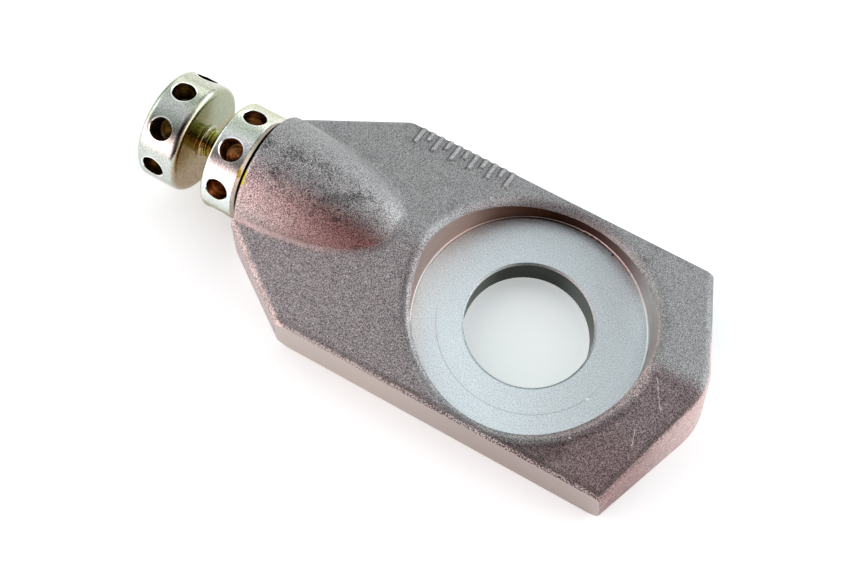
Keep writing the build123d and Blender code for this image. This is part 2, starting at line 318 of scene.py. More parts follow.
# Block: one CAD node with a finish for each kind of face
blockFinish = {
    # Pairs named X, Y, Over, Out or In say where a tint begins and ends, in millimetres: along the part,
    # across it, above the roof's plane, out from the axle hole's axis, or inward from the nose's edge
    "castLight": (0.55, 0.55, 0.55),
    "castDark": (0.13, 0.125, 0.125),
    "castStain": (0.06, 0.058, 0.058),
    "castCloud": (0.86, 0.86, 0.87),
    "castGlint": (0.88, 0.86, 0.86),
    "castRough": 0.56,
    "castStainSize": 4 * mm,
    "grainSize": 0.27 * mm,
    "grainDepth": 0.04 * mm,
    "grainContrast": (0.58, 1.0),
    "noseContrast": 0.35,
    "contrastY": (5, -6),
    "sparkY": (6, -6),
    # Roof and boss: painted shade on the far roof, painted light and shade on the near flank, a painted
    # highlight along its foot, and dark specks
    "ridge": 19.25,
    "roofSlope": 0.34,
    "roofNear": (1.02, 1.01, 1.015),
    "roofFar": (0.87, 0.87, 0.875),
    "roofY": (-4, 2),
    "roofOver": (0.6, 0.1),
    "bossX": (-22, -26),
    "nearY": (-1.5, -6),
    "flankFront": (1.52, 1.33, 1.30),
    "flankBack": (0.97, 0.54, 0.51),
    "flankX": (-57, -33),
    "flankOver": (0.1, 0.9),
    "crestNearY": (-9, -5),
    "crestFarY": (5, 1),
    "crestOver": (1.0, 3.0),
    "speckSize": 1.1 * mm,
    "footGlint": (0.66, 0.56, 0.54),
    "footX": (-33, -48),
    "footTopOver": (1.2, 0.5),
    "footBaseOver": (0.0, 0.3),
    # Nose, and the roof beside the recess: painted shade
    "noseNear": (0.84, 0.70, 0.70),
    "noseMiddle": (0.90, 0.81, 0.82),
    "noseX": (6, 22),
    "noseY": (1, -2),
    "noseMiddleY": (-18, -10),
    "lipShade": (0.55, 0.54, 0.54),
    "lipInnerOut": (23.6, 24.2),
    "lipOuterOut": (25.9, 24.9),
    "lipX": (-4, 6),
    "lipY": (-6, -12),
    "rimInnerOut": (23.3, 23.7),
    "rimOuterOut": (24.7, 24.1),
    "rimX": (6, -4),
    "rimY": (-3, -8),
    "stripShade": (0.64, 0.59, 0.59),
    "stripInnerOut": (24.4, 25.2),
    "stripOuterOut": (28.6, 27.4),
    "stripLeftX": (2, 7),
    "stripRightX": (20, 15.5),
    "stripY": (-17, -20),
    # Cast walls: painted light, and a tint against reflected pink
    "wallNoseNear": (1.12, 0.92, 0.89),
    "wallNoseFar": (1.85, 1.55, 1.52),
    "wallNoseY": (-18, 8),
    "onNoseX": (10, 26),
    "onNoseY": (15, 8),
    "wallPale": (0.98, 0.80, 0.77),
    "wallDim": (0.55, 0.42, 0.40),
    "paleY": (-20, 4),
    "wallTaper": (1.38, 1.24, 1.21),
    "browX": (-28, -34),
    "browY": (15, 11),
    "browOver": (0.3, 0.0),
    "lineEnd": (0.94, 1.02, 1.02),
    "lineEndInnerY": (16, 18),
    "lineEndOuterY": (24.6, 24.3),
    # Edge of the roof over the milled side and along the nose, with painted highlights
    "edgeDark": (0.085, 0.06, 0.055),
    "edgeGlint": (0.88, 0.76, 0.74),
    "bandX": (-38, -10),
    "bandY": (-23.0, -24.6),
    "noseEdge": 37.77,                     # where the nose's lower edge would meet the middle line
    "noseEdgeSlope": 0.384,
    "noseWallLean": (0.934, -0.158),       # shares of the level distance and of the height
    "brinkIn": (1.5, 0.4),
    "brinkY": (2, -3),
    "tickSize": 0.27 * mm,
    "tickIn": (0.7, 0.2),
    "tickY": (-24.0, -24.6),
    "edgeLineX": (-8, -22),
    "edgeLineY": (-24.35, -24.75),
    "glintY": (3, -3),
    # Scale with painted highlight and shade, and marks
    "scaleFirst": -36.8,
    "scalePitch": 2.0,
    "scaleLast": 10,
    "scaleReach": (20.4, 1.8),             # inner end of the long lines, and how much shorter the others are
    "scaleFade": (-0.5, -0.1),
    "scaleHighlight": (1.42, 1.38, 1.37),
    "crownShift": 0.05,
    "crownWidth": (0.45, 0.1),
    "scaleShade": (0.60, 0.60, 0.62),
    "shadeShift": -0.62,
    "shadeWidth": (0.32, 0.08),
    "stroke": (0.80, 0.77, 0.77),
    "paint": (0.58, 0.56, 0.03),
    "pore": (0.02, 0.015, 0.015),
    # Milled sides
    "sideColour": (0.59, 0.505, 0.46),
    "sideNose": (0.75, 0.72, 0.73),
    "sideNoseX": (-30, 10),
    "sidePitch": 0.25 * mm,
    "sideDepth": 0.006 * mm,
    "sideStainSize": 9 * mm,
    "sideDarkShare": 0.84,
    "sideRough": 0.36,
    # Recess floor, with painted light, shade and glints by place
    "floorColour": (0.88, 0.985, 1.0),
    "floorLeft": (0.985, 1.0, 1.0),
    "floorFar": (0.72, 0.725, 0.735),
    "glintAndNick": (1, 1, 1),
    "floorRing": (0.74, 0.74, 0.76),
    "floorRingRadius": 17.8,
    "floorRingWidth": (0.13, 0.05),
    "floorRingY": (-3, -8),
    "floorPitch": 0.22 * mm,
    "floorGrain": 0.28 * mm,
    "floorContrast": 0.85,
    "floorDepth": 0.03 * mm,
    "floorStainSize": 8 * mm,
    "floorDarkShare": 0.50,
    "floorTones": (0.60, 0.25, 0.15),      # shares of the grain, the clouds and the cutter marks
    "floorLean": (7.0, 9.0),               # weights along and across, for the tints by place
    "leftLean": (0.0, -0.16),
    "leftLift": 0.05,
    "farLean": (-0.17, 0.19),
    "glitterLean": (0.1, -0.15),
    "glitterSize": 0.25 * mm,
    "holeEdge": (0.68, 0.70, 0.70),
    "holeEdgeOut": (13.0, 12.85),
    "floorRough": 0.42,
    # Recess wall: painted light and shade from the nose's side round to the boss's side, as shares of half a
    # turn
    "wallStops": ((0.0, (0.90, 0.93, 0.93)), (0.22, (0.88, 0.90, 0.88)), (0.34, (0.42, 0.32, 0.30)),
                  (0.46, (0.20, 0.12, 0.10)), (0.58, (0.10, 0.05, 0.035)), (0.66, (0.27, 0.14, 0.10)),
                  (0.74, (0.46, 0.28, 0.22)), (0.83, (0.92, 0.71, 0.62)), (1.0, (0.88, 0.80, 0.78))),
    "wallMark": (0.80, 0.80, 0.80),
    "wallEdge": (0.48, 0.36, 0.33),
    "wallPitch": 0.3 * mm,
    "wallRough": 0.30,
    "cove": (0.60, 0.59, 0.58),
    "coveFoot": (0.45, 0.47, 0.48),
    # Axle hole's wall: painted dark as shade, with painted light towards both ends
    "boreShade": (0.066, 0.072, 0.066),
    "borePaintedLight": (0.165, 0.178, 0.170),
    "boreEdge": (0.6, 0.6, 0.58),
    "borePitch": 0.35 * mm,
    "boreDarkShare": 0.7,
    "boreEnds": ((0.52, 0.34), (0.77, 0.93)),      # shares of half a turn
    "boreRough": 0.34,
    "turnedDepth": 0.012 * mm,
    "turnedRadius": 20 * mm,               # turns angles into lengths along the cutter marks
    # Limits that tell the kinds of face apart
    "flat": 0.999,
    "sideFaceY": 24.9,
    "endFaceX": -57.7,
    "backFaceZ": 0.05,
    "recessRadius": 22.85,
    "recessBase": 6.0,
    "floorFlat": 0.99,
    "holeEdgeRadius": 14,
    "boreRadius": 12.6,
    "boreLean": 0.3,
}


def scaleLines(tree, x, y, f):
    # Painted highlight on the crowns and painted shade on the left flanks of the raised lines, every other
    # one shorter
    steps = sums(tree, "DIVIDE", sums(tree, "SUBTRACT", x, f["scaleFirst"] * mm), f["scalePitch"] * mm)
    number = sums(tree, "ROUND", steps)
    off = sums(tree, "MULTIPLY", sums(tree, "SUBTRACT", steps, number), f["scalePitch"])
    odd = sums(tree, "PINGPONG", number, 1.0)
    end = sums(tree, "MULTIPLY_ADD", odd, f["scaleReach"][1] * mm, f["scaleReach"][0] * mm)
    inside = zone(tree, sums(tree, "SUBTRACT", y, end), f["scaleFade"])
    inside = both(tree, inside, sums(tree, "GREATER_THAN", number, -0.5),
                  sums(tree, "LESS_THAN", number, f["scaleLast"] + 0.5))
    crown = sums(tree, "ABSOLUTE", sums(tree, "SUBTRACT", off, f["crownShift"]))
    shade = sums(tree, "ABSOLUTE", sums(tree, "SUBTRACT", off, f["shadeShift"]))
    crown = ramp(tree, crown, *f["crownWidth"])
    shade = ramp(tree, shade, *f["shadeWidth"])
    return both(tree, inside, crown), both(tree, inside, shade)


def castMaterial(f):
    material, tree, shader = newMaterial("castSkin")
    spot = put(tree, "TexCoord").outputs
    point = spot["Object"]
    x, y, z = put(tree, "SeparateXYZ", {0: point}).outputs[:]
    upward = put(tree, "SeparateXYZ", {0: spot["Normal"]}).outputs[2]
    radius = radiusAndAngle(tree, point)[0]
    noseNear = both(tree, zone(tree, x, f["noseX"]), zone(tree, y, f["noseY"]))
    contrast = zone(tree, y, f["contrastY"], *f["grainContrast"])
    contrast = sums(tree, "MULTIPLY_ADD", noseNear, f["noseContrast"], contrast)
    grain = useGroup(tree, grainGroup, Point=point, Size=f["grainSize"], Contrast=contrast)
    stain = useGroup(tree, stainGroup, Point=point, Size=f["castStainSize"], Amount=0.5)
    colour = blend(tree, grain["Tone"], f["castDark"], f["castLight"])
    colour = tinted(tree, ramp(tree, stain["Cloud"], 0.56, 0.70), colour, f["castCloud"])
    pepper = ramp(tree, grain["Tone"], 0.5, 0.2)
    # Painted glints on scattered grains, more of them on the near side
    spark = both(tree, grain["Spark"], zone(tree, y, f["sparkY"], 0.25, 0.75))
    colour = blend(tree, spark, colour, f["castGlint"])

    # Roof and boss: painted shade on the far roof, dark specks and stains on the boss's top, painted light
    # and shade in a reddish tone on its near flank, lighter at the front end and darker behind, and a
    # painted highlight along its foot
    over = sums(tree, "MULTIPLY_ADD", sums(tree, "ABSOLUTE", y), f["roofSlope"],
                sums(tree, "SUBTRACT", z, f["ridge"] * mm))
    # Painted shade: the far half of the roof is darker than the near half
    roofShading = blend(tree, zone(tree, y, f["roofY"]), f["roofNear"], f["roofFar"])
    colour = tinted(tree, zone(tree, over, f["roofOver"]), colour, roofShading)
    behind = zone(tree, x, f["bossX"])
    near = zone(tree, y, f["nearY"])
    flank = both(tree, zone(tree, over, f["flankOver"]), near, behind)
    flankShading = blend(tree, zone(tree, x, f["flankX"]), f["flankFront"], f["flankBack"])
    colour = tinted(tree, flank, colour, flankShading)
    crest = both(tree, zone(tree, over, f["crestOver"]), zone(tree, y, f["crestNearY"]),
                 zone(tree, y, f["crestFarY"]), behind)
    mottle = ramp(tree, stain["Cloud"], 0.40, 0.62, 0.25, 0.95)
    colour = blend(tree, both(tree, crest, pepper, mottle), colour, f["castStain"])
    specks = ramp(tree, noise(tree, point, f["speckSize"], 4.0, 0.75), 0.53, 0.60)
    colour = blend(tree, both(tree, crest, specks, mottle, 0.85), colour, f["castStain"])
    stains = marked(tree, point, bossStains, 1.0)
    stains = both(tree, stains, ramp(tree, pepper, 0.0, 0.8, 0.35, 0.85))
    colour = blend(tree, stains, colour, f["castStain"])
    # Painted highlight along the boss's near foot
    foot = both(tree, zone(tree, over, f["footTopOver"]), zone(tree, over, f["footBaseOver"]), near,
                zone(tree, x, f["footX"]), 0.55)
    colour = blend(tree, foot, colour, f["footGlint"])

    # Nose: painted shade in a reddish-brown tone on the near roof, and painted shade along the recess's lip
    # and in the strip beside it
    noseTint = blend(tree, zone(tree, y, f["noseMiddleY"]), f["noseNear"], f["noseMiddle"])
    colour = tinted(tree, noseNear, colour, noseTint)
    lip = both(tree, zone(tree, radius, f["lipInnerOut"]), zone(tree, radius, f["lipOuterOut"]),
               zone(tree, y, f["lipY"]), zone(tree, x, f["lipX"]))
    rim = both(tree, zone(tree, radius, f["rimInnerOut"]), zone(tree, radius, f["rimOuterOut"]),
               zone(tree, y, f["rimY"]), zone(tree, x, f["rimX"], 0.0, 0.85))
    colour = tinted(tree, sums(tree, "MAXIMUM", lip, rim), colour, f["lipShade"])
    strip = both(tree, zone(tree, radius, f["stripInnerOut"]), zone(tree, radius, f["stripOuterOut"]),
                 zone(tree, y, f["stripY"]), zone(tree, x, f["stripLeftX"]), zone(tree, x, f["stripRightX"]))
    colour = tinted(tree, strip, colour, f["stripShade"])

    # Walls: painted light, reddish and paler round the nose and down the taper, and a cooler tint on the end
    # faces of the scale's lines against the pink they reflect
    wall = ramp(tree, upward, 0.80, 0.45)
    noseWall = blend(tree, zone(tree, y, f["wallNoseY"]), f["wallNoseNear"], f["wallNoseFar"])
    onNose = both(tree, wall, zone(tree, x, f["onNoseX"]), zone(tree, y, f["onNoseY"]))
    colour = tinted(tree, onNose, colour, noseWall)
    pale = blend(tree, grain["Tone"], f["wallDim"], f["wallPale"])
    colour = blend(tree, both(tree, onNose, zone(tree, y, f["paleY"], 0.05, 0.75)), colour, pale)
    brow = both(tree, ramp(tree, upward, 0.93, 0.6), zone(tree, x, f["browX"]), zone(tree, y, f["browY"]),
                zone(tree, over, f["browOver"]))
    colour = tinted(tree, brow, colour, f["wallTaper"])
    lineEnd = both(tree, wall, zone(tree, y, f["lineEndInnerY"]), zone(tree, y, f["lineEndOuterY"]))
    colour = tinted(tree, lineEnd, colour, f["lineEnd"])

    # Near edge over the milled side and along the nose: a dark band broken by ticks and a thin line of
    # painted highlight
    roof = ramp(tree, upward, 0.5, 0.8)
    band = both(tree, zone(tree, y, f["bandY"]), zone(tree, x, f["bandX"], 0.45, 0.65))
    level = sums(tree, "SUBTRACT", f["noseEdge"] * mm, x)
    level = sums(tree, "MULTIPLY_ADD", y, f["noseEdgeSlope"], level)
    inward = sums(tree, "MULTIPLY", z, f["noseWallLean"][1])
    inward = sums(tree, "MULTIPLY_ADD", level, f["noseWallLean"][0], inward)
    brink = both(tree, zone(tree, inward, f["brinkIn"]), zone(tree, y, f["brinkY"]), 0.55)
    dark = both(tree, sums(tree, "MAXIMUM", band, brink), roof)
    colour = blend(tree, dark, colour, f["edgeDark"])
    ticks = ramp(tree, noise(tree, point, f["tickSize"], 1.0), 0.48, 0.54)
    line = both(tree, zone(tree, y, f["edgeLineY"]), zone(tree, x, f["edgeLineX"], 0.0, 0.35))
    ticked = sums(tree, "MAXIMUM", zone(tree, y, f["tickY"]), zone(tree, inward, f["tickIn"]))
    glint = sums(tree, "MAXIMUM", line, both(tree, ticks, ticked, 0.85))
    glint = both(tree, glint, roof, zone(tree, y, f["glintY"]))
    colour = blend(tree, glint, colour, f["edgeGlint"])

    # Scale lines with painted highlight and shade, scratches and a dab of paint
    crown, shade = scaleLines(tree, x, y, f)
    colour = tinted(tree, crown, colour, f["scaleHighlight"])
    colour = tinted(tree, shade, colour, f["scaleShade"])
    scratches = marked(tree, point, noseScratches, 0.7)
    colour = blend(tree, both(tree, scratches, 0.8), colour, f["stroke"])
    colour = blend(tree, marked(tree, point, paintDab, 0.4), colour, f["paint"])
    shader.inputs["Metallic"].default_value = 1.0
    rough = ramp(tree, stain["Cloud"], 0.3, 0.7, f["castRough"] - 0.06, f["castRough"] + 0.08)
    normal = bumped(tree, grain["Height"], f["grainDepth"], 0.8)
    feed(tree, shader, Base_Color=colour, Roughness=rough, Normal=normal)
    return material


def sideMaterial(f):
    material, tree, shader = newMaterial("milledSide")
    point = objectPoint(tree)
    x, y, z = put(tree, "SeparateXYZ", {0: point}).outputs[:]
    marks = useGroup(tree, cutterGroup, Across=z, Along=x, Pitch=f["sidePitch"])
    stain = useGroup(tree, stainGroup, Point=point, Size=f["sideStainSize"], Amount=0.5)
    tone = sums(tree, "MULTIPLY_ADD", stain["Cloud"], 0.5, sums(tree, "MULTIPLY", marks["Height"], 0.5))
    dark = tuple(f["sideDarkShare"] * c for c in f["sideColour"])
    colour = blend(tree, ramp(tree, tone, 0.35, 0.65), dark, f["sideColour"])
    colour = tinted(tree, zone(tree, x, f["sideNoseX"]), colour, f["sideNose"])
    shader.inputs["Metallic"].default_value = 1.0
    rough = ramp(tree, stain["Cloud"], 0.3, 0.7, f["sideRough"] - 0.05, f["sideRough"] + 0.07)
    feed(tree, shader, Base_Color=colour, Roughness=rough,
         Normal=bumped(tree, marks["Height"], f["sideDepth"], 0.6))
    return material


def radiusAndAngle(tree, point):
    x, y, z = put(tree, "SeparateXYZ", {0: point}).outputs[:]
    flat = put(tree, "CombineXYZ", {0: x, 1: y})
    radius = put(tree, "VectorMath", {0: flat.outputs[0]}, operation="LENGTH").outputs["Value"]
    return radius, sums(tree, "ARCTAN2", y, x), (x, y, z)


def turnedMarks(tree, across, angle, pitch, f):
    around = sums(tree, "MULTIPLY", angle, f["turnedRadius"])
    return useGroup(tree, cutterGroup, Across=across, Along=around, Pitch=pitch)["Height"]


def halfTurn(tree, angle):
    return sums(tree, "DIVIDE", sums(tree, "ABSOLUTE", angle), math.pi)


def floorMaterial(f):
    material, tree, shader = newMaterial("recessFloor")
    point = objectPoint(tree)
    radius, angle, place = radiusAndAngle(tree, point)
    marks = turnedMarks(tree, radius, angle, f["floorPitch"], f)
    grain = useGroup(tree, grainGroup, Point=point, Size=f["floorGrain"], Contrast=f["floorContrast"])
    stain = useGroup(tree, stainGroup, Point=point, Size=f["floorStainSize"], Amount=0.5)
    tone = sums(tree, "MULTIPLY", stain["Cloud"], f["floorTones"][1])
    tone = sums(tree, "MULTIPLY_ADD", grain["Tone"], f["floorTones"][0], tone)
    tone = sums(tree, "MULTIPLY_ADD", marks, f["floorTones"][2], tone)
    dark = tuple(f["floorDarkShare"] * c for c in f["floorColour"])

    # Painted light towards the boss's near side, painted shade towards the far nose, and painted glints on
    # scattered grains
    lean = sums(tree, "MULTIPLY", place[1], f["floorLean"][1])
    lean = sums(tree, "MULTIPLY_ADD", place[0], f["floorLean"][0], lean)
    left = ramp(tree, lean, *f["leftLean"])
    tone = sums(tree, "MULTIPLY_ADD", left, f["leftLift"], tone)
    colour = blend(tree, ramp(tree, tone, 0.07, 0.53, smooth=False), dark, f["floorColour"])
    colour = tinted(tree, left, colour, f["floorLeft"])
    colour = tinted(tree, ramp(tree, lean, *f["farLean"], smooth=False), colour, f["floorFar"])
    glitter = useGroup(tree, grainGroup, Point=point, Size=f["glitterSize"], Contrast=1.0)["Spark"]
    glitter = both(tree, glitter, ramp(tree, lean, *f["glitterLean"], 0.35, 1.0))
    colour = blend(tree, glitter, colour, f["glintAndNick"])

    # A faint turning ring, the axle hole's edge, a nick and pores
    ring = sums(tree, "ABSOLUTE", sums(tree, "SUBTRACT", radius, f["floorRingRadius"] * mm))
    ring = both(tree, zone(tree, ring, f["floorRingWidth"]), zone(tree, place[1], f["floorRingY"]))
    colour = tinted(tree, ring, colour, f["floorRing"])
    colour = tinted(tree, zone(tree, radius, f["holeEdgeOut"]), colour, f["holeEdge"])
    colour = blend(tree, marked(tree, point, floorNick, 0.6), colour, f["glintAndNick"])
    colour = blend(tree, marked(tree, point, pores, 0.6), colour, f["pore"])
    shader.inputs["Metallic"].default_value = 1.0
    rough = ramp(tree, stain["Cloud"], 0.3, 0.7, f["floorRough"] - 0.05, f["floorRough"] + 0.06)
    height = sums(tree, "MULTIPLY_ADD", marks, 0.5, grain["Height"])
    feed(tree, shader, Base_Color=colour, Roughness=rough, Normal=bumped(tree, height, f["floorDepth"], 1.0))
    return material


def wallMaterial(f):
    material, tree, shader = newMaterial("recessWall")
    spot = put(tree, "TexCoord").outputs
    point = spot["Object"]
    upward = put(tree, "SeparateXYZ", {0: spot["Normal"]}).outputs[2]
    angle, place = radiusAndAngle(tree, point)[1:]
    marks = turnedMarks(tree, place[2], angle, f["wallPitch"], f)
    # Painted light and shade round the wall, by angle
    shades = put(tree, "ValToRGB", {0: halfTurn(tree, angle)})
    stops = shades.color_ramp.elements
    stops[0].position, stops[0].color = f["wallStops"][0][0], (*f["wallStops"][0][1], 1)
    stops[1].position, stops[1].color = f["wallStops"][-1][0], (*f["wallStops"][-1][1], 1)
    for position, shade in f["wallStops"][1:-1]:
        stops.new(position).color = (*shade, 1)
    colour = tinted(tree, ramp(tree, marks, 0.35, 0.65), shades.outputs[0], f["wallMark"])

    # Cove at the foot: a painted highlight where it turns level, painted shade below
    colour = tinted(tree, ramp(tree, upward, 0.5, 0.75), colour, f["coveFoot"])
    line = both(tree, ramp(tree, upward, 0.25, 0.4), ramp(tree, upward, 0.7, 0.5))
    colour = blend(tree, line, colour, f["cove"])
    colour = blend(tree, marked(tree, point, pores, 0.6), colour, f["pore"])
    shader.inputs["Metallic"].default_value = 1.0
    shader.inputs["Roughness"].default_value = f["wallRough"]
    shader.inputs["Specular Tint"].default_value = (*f["wallEdge"], 1)
    feed(tree, shader, Base_Color=colour, Normal=bumped(tree, marks, f["turnedDepth"], 0.6))
    return material


def boreMaterial(f):
    material, tree, shader = newMaterial("boreWall")
    angle, place = radiusAndAngle(tree, objectPoint(tree))[1:]
    marks = turnedMarks(tree, place[2], angle, f["borePitch"], f)
    dark = tuple(f["boreDarkShare"] * c for c in f["boreShade"])
    colour = blend(tree, ramp(tree, marks, 0.35, 0.65), dark, f["boreShade"])
    # Painted light towards both ends of the half turn
    turn = halfTurn(tree, angle)
    ends = sums(tree, "MAXIMUM", *(ramp(tree, turn, *end) for end in f["boreEnds"]))
    colour = blend(tree, ends, colour, f["borePaintedLight"])
    shader.inputs["Metallic"].default_value = 1.0
    shader.inputs["Roughness"].default_value = f["boreRough"]
    shader.inputs["Specular Tint"].default_value = (*f["boreEdge"], 1)
    feed(tree, shader, Base_Color=colour, Normal=bumped(tree, marks, f["turnedDepth"], 0.6))
    return material


def faceData(mesh):
    count = len(mesh.polygons)
    centre = np.empty(count * 3)
    normal = np.empty(count * 3)
    mesh.polygons.foreach_get("center", centre)
    mesh.polygons.foreach_get("normal", normal)
    return centre.reshape(-1, 3) / mm, normal.reshape(-1, 3)


def dress(obj, materials, index):
    obj.data.materials.clear()
    for material in materials:
        obj.data.materials.append(material)
    obj.data.polygons.foreach_set("material_index", index.astype(np.int32))
    obj.data.update()


def finishBlock(f):
    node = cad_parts["adjuster_block"]
    centre, normal = faceData(node.data)
    x, y, z = centre.T
    radius = np.hypot(x, y)
    cast, side, floor, wall, bore = range(5)
    index = np.full(len(x), cast)
    index[(np.abs(normal[:, 1]) > f["flat"]) & (np.abs(y) > f["sideFaceY"])] = side
    index[(normal[:, 0] < -f["flat"]) & (x < f["endFaceX"])] = side
    index[(normal[:, 2] < -f["flat"]) & (z < f["backFaceZ"])] = side
    inRecess = (radius < f["recessRadius"]) & (z > f["recessBase"])
    index[inRecess] = wall
    index[inRecess & ((normal[:, 2] > f["floorFlat"]) | (radius < f["holeEdgeRadius"]))] = floor
    index[(radius < f["boreRadius"]) & (np.abs(normal[:, 2]) < f["boreLean"])] = bore
    materials = [castMaterial(f), sideMaterial(f), floorMaterial(f), wallMaterial(f), boreMaterial(f)]
    dress(node, materials, index)


finishBlock(blockFinish)
print("stage: block finished")


# Bolt and lock nut: bright zinc plating with painted light and shade, darker in the tommy-bar holes where
# painted shade lies over their own brown
plating = {
    "axisHeight": 12.87,
    "shankRadius": 3.0,
    "neckEnd": -71.15,
    "holeCount": 8,
    "holeRadius": 2.25,
    "holeRimWidth": (0.2, 0.08),
    "holeRimOffset": 0.13,
    "holeFloor": 3.5,
    "headHoles": (-76.7, -12.5, 11.15),    # middle along the axis, first turn in degrees, drum radius
    "nutHoles": (-62.55, 18.6, 11.0),
    "headFace": (-72.9, -72.0),            # where the drum's silver turns to the face's colours
    "nutFace": (-65.5, -66.1),
    "threadFace": (-90, -89),
    "seatGroove": (-58.80, -58.70),
    "seatRimFrom": (-59.45, -59.30),
    "seatRimTo": (-58.70, -58.80),
    "silver": (0.66, 0.71, 0.66),
    "olive": (0.56, 0.58, 0.43),
    "gold": (0.66, 0.50, 0.25),
    "rose": (0.66, 0.49, 0.33),
    "blotch": (0.84, 0.80, 0.72),
    "crest": (1.25, 1.21, 1.16),
    "lit": (0.92, 1.0, 1.0),
    "roseFall": (-9, -3),                  # down the face, towards the near low side, in millimetres
    "oliveFall": (-1, 7),
    "blotchFall": (6, 0),
    "blotchSize": 0.8 * mm,
    "lowZ": (13.5, 10.5),
    "crestY": (-2, 4),
    "litY": (-4.5, -7.5),
    "litZ": (11.5, 14),
    "seatShadow": (0.02, 0.02, 0.018),
    "paint": (0.45, 0.44, 0.05),
    "headTint": (0.68, 0.68, 0.63),
    "nutTint": (0.96, 0.96, 0.93),
    "nutLow": (0.33, 0.31, 0.24),
    "headLow": (0.92, 0.91, 0.90),
    "threadTint": (0.62, 0.67, 0.30),
    "nutHoleLight": (0.60, 0.40, 0.22),
    "nutHoleDark": (0.09, 0.05, 0.03),
    "headHoleLight": (0.36, 0.28, 0.11),
    "headHoleDark": (0.035, 0.016, 0.012),
    "holePaintedLight": (1.6, 1.5, 1.2),
    "holePaintedLightY": (-7, -9.5),
    "holeRough": 0.24,
    "holeHighlight": (0.98, 1.0, 0.98),
    "seatHighlight": (0.80, 0.78, 0.72),
    "nutEdge": (0.70, 0.68, 0.56),
    "rough": 0.15,
    "stainSize": 5 * mm,
    "stainShare": 0.2,
    "grainSize": 0.32 * mm,
    "grainDepth": 0.012 * mm,
    "grainTone": (0.72, 1.10),
    "wander": 16 * mm,                     # how far clouds shift the face's colours
    "lowShare": 0.8,
    "faceShare": 0.95,
    "holeRimShare": 0.75,
    "seatRimShare": 0.9,
    "holePitch": 0.3 * mm,
    "holeDepth": 0.03 * mm,
    "holeStainSize": 1.6 * mm,
}
seatDab = {"chamfer": ((-59.2, -5.6, 21.9), (-59.1, -6.6, 21.3), 0.4)}


def holeRims(tree, p, holes, along, y, z):
    # A painted highlight: a thin ring round each radial hole, from the distance to the nearest hole's axis
    middle, turn, drumRadius = holes
    height = sums(tree, "SUBTRACT", z, p["axisHeight"] * mm)
    around = sums(tree, "ARCTAN2", sums(tree, "MULTIPLY", y, -1.0), height)
    step = math.radians(180 / p["holeCount"])
    off = sums(tree, "WRAP", sums(tree, "SUBTRACT", around, math.radians(turn)), step, -step)
    aside = sums(tree, "MULTIPLY", sums(tree, "SINE", off), drumRadius * mm)
    forward = sums(tree, "SUBTRACT", along, middle * mm)
    square = sums(tree, "MULTIPLY_ADD", aside, aside, sums(tree, "MULTIPLY", forward, forward))
    ringRadius = (p["holeRadius"] + p["holeRimOffset"]) * mm
    ring = sums(tree, "SUBTRACT", sums(tree, "SQRT", square), ringRadius)
    return zone(tree, sums(tree, "ABSOLUTE", ring), p["holeRimWidth"])


def zincMaterial(p, name, tint, turn, holes=None, groove=None):
    material, tree, shader = newMaterial(name)
    point = objectPoint(tree)
    along, y, z = put(tree, "SeparateXYZ", {0: point}).outputs[:]
    stain = useGroup(tree, stainGroup, Point=point, Size=p["stainSize"], Amount=0.6)
    grain = useGroup(tree, grainGroup, Point=point, Size=p["grainSize"], Contrast=0.8)
    inner = zone(tree, along, turn)
    fall = sums(tree, "ADD", y, sums(tree, "SUBTRACT", z, p["axisHeight"] * mm))
    fall = sums(tree, "MULTIPLY_ADD", sums(tree, "SUBTRACT", stain["Cloud"], 0.5), p["wander"], fall)
    face = blend(tree, zone(tree, fall, p["roseFall"]), p["rose"], p["gold"])
    face = blend(tree, zone(tree, fall, p["oliveFall"]), face, p["olive"])
    blotch = ramp(tree, noise(tree, point, p["blotchSize"], 3.0, 0.7), 0.42, 0.60)
    blotch = both(tree, blotch, zone(tree, fall, p["blotchFall"]))
    face = tinted(tree, blotch, face, p["blotch"])
    colour = blend(tree, both(tree, stain["Mask"], p["stainShare"]), p["silver"], p["olive"])
    # Painted shade low down, painted light towards the far side and a painted highlight band on the near
    # side
    low = both(tree, zone(tree, z, p["lowZ"]), p["lowShare"])
    colour = blend(tree, low, colour, p["nutLow"] if groove else p["headLow"])
    colour = tinted(tree, zone(tree, y, p["crestY"]), colour, p["crest"])
    lit = both(tree, zone(tree, y, p["litY"]), zone(tree, z, p["litZ"]))
    colour = blend(tree, lit, colour, p["lit"])
    colour = blend(tree, both(tree, inner, p["faceShare"]), colour, face)
    tone = ramp(tree, grain["Tone"], 0.0, 1.0, *p["grainTone"], smooth=False)
    shade = put(tree, "CombineColor", {0: tone, 1: tone, 2: tone}).outputs[0]
    colour = blend(tree, 1.0, colour, shade, "MULTIPLY")
    colour = blend(tree, 1.0, colour, tint, "MULTIPLY")
    if holes:
        rims = holeRims(tree, p, holes, along, y, z)
        colour = blend(tree, both(tree, rims, p["holeRimShare"]), colour, p["holeHighlight"])
    if groove:
        shader.inputs["Specular Tint"].default_value = (*p["nutEdge"], 1)
        # A painted highlight on the seat's chamfer and painted shadow in the groove against the boss
        rim = both(tree, zone(tree, along, p["seatRimFrom"]), zone(tree, along, p["seatRimTo"]),
                   p["seatRimShare"])
        colour = blend(tree, rim, colour, p["seatHighlight"])
        colour = blend(tree, zone(tree, along, groove), colour, p["seatShadow"])
        colour = blend(tree, marked(tree, point, seatDab, 0.5), colour, p["paint"])
    shader.inputs["Metallic"].default_value = 1.0
    rough = ramp(tree, stain["Cloud"], 0.3, 0.7, p["rough"] - 0.04, p["rough"] + 0.07)
    feed(tree, shader, Base_Color=colour, Roughness=rough,
         Normal=bumped(tree, grain["Height"], p["grainDepth"], 0.6))
    return material


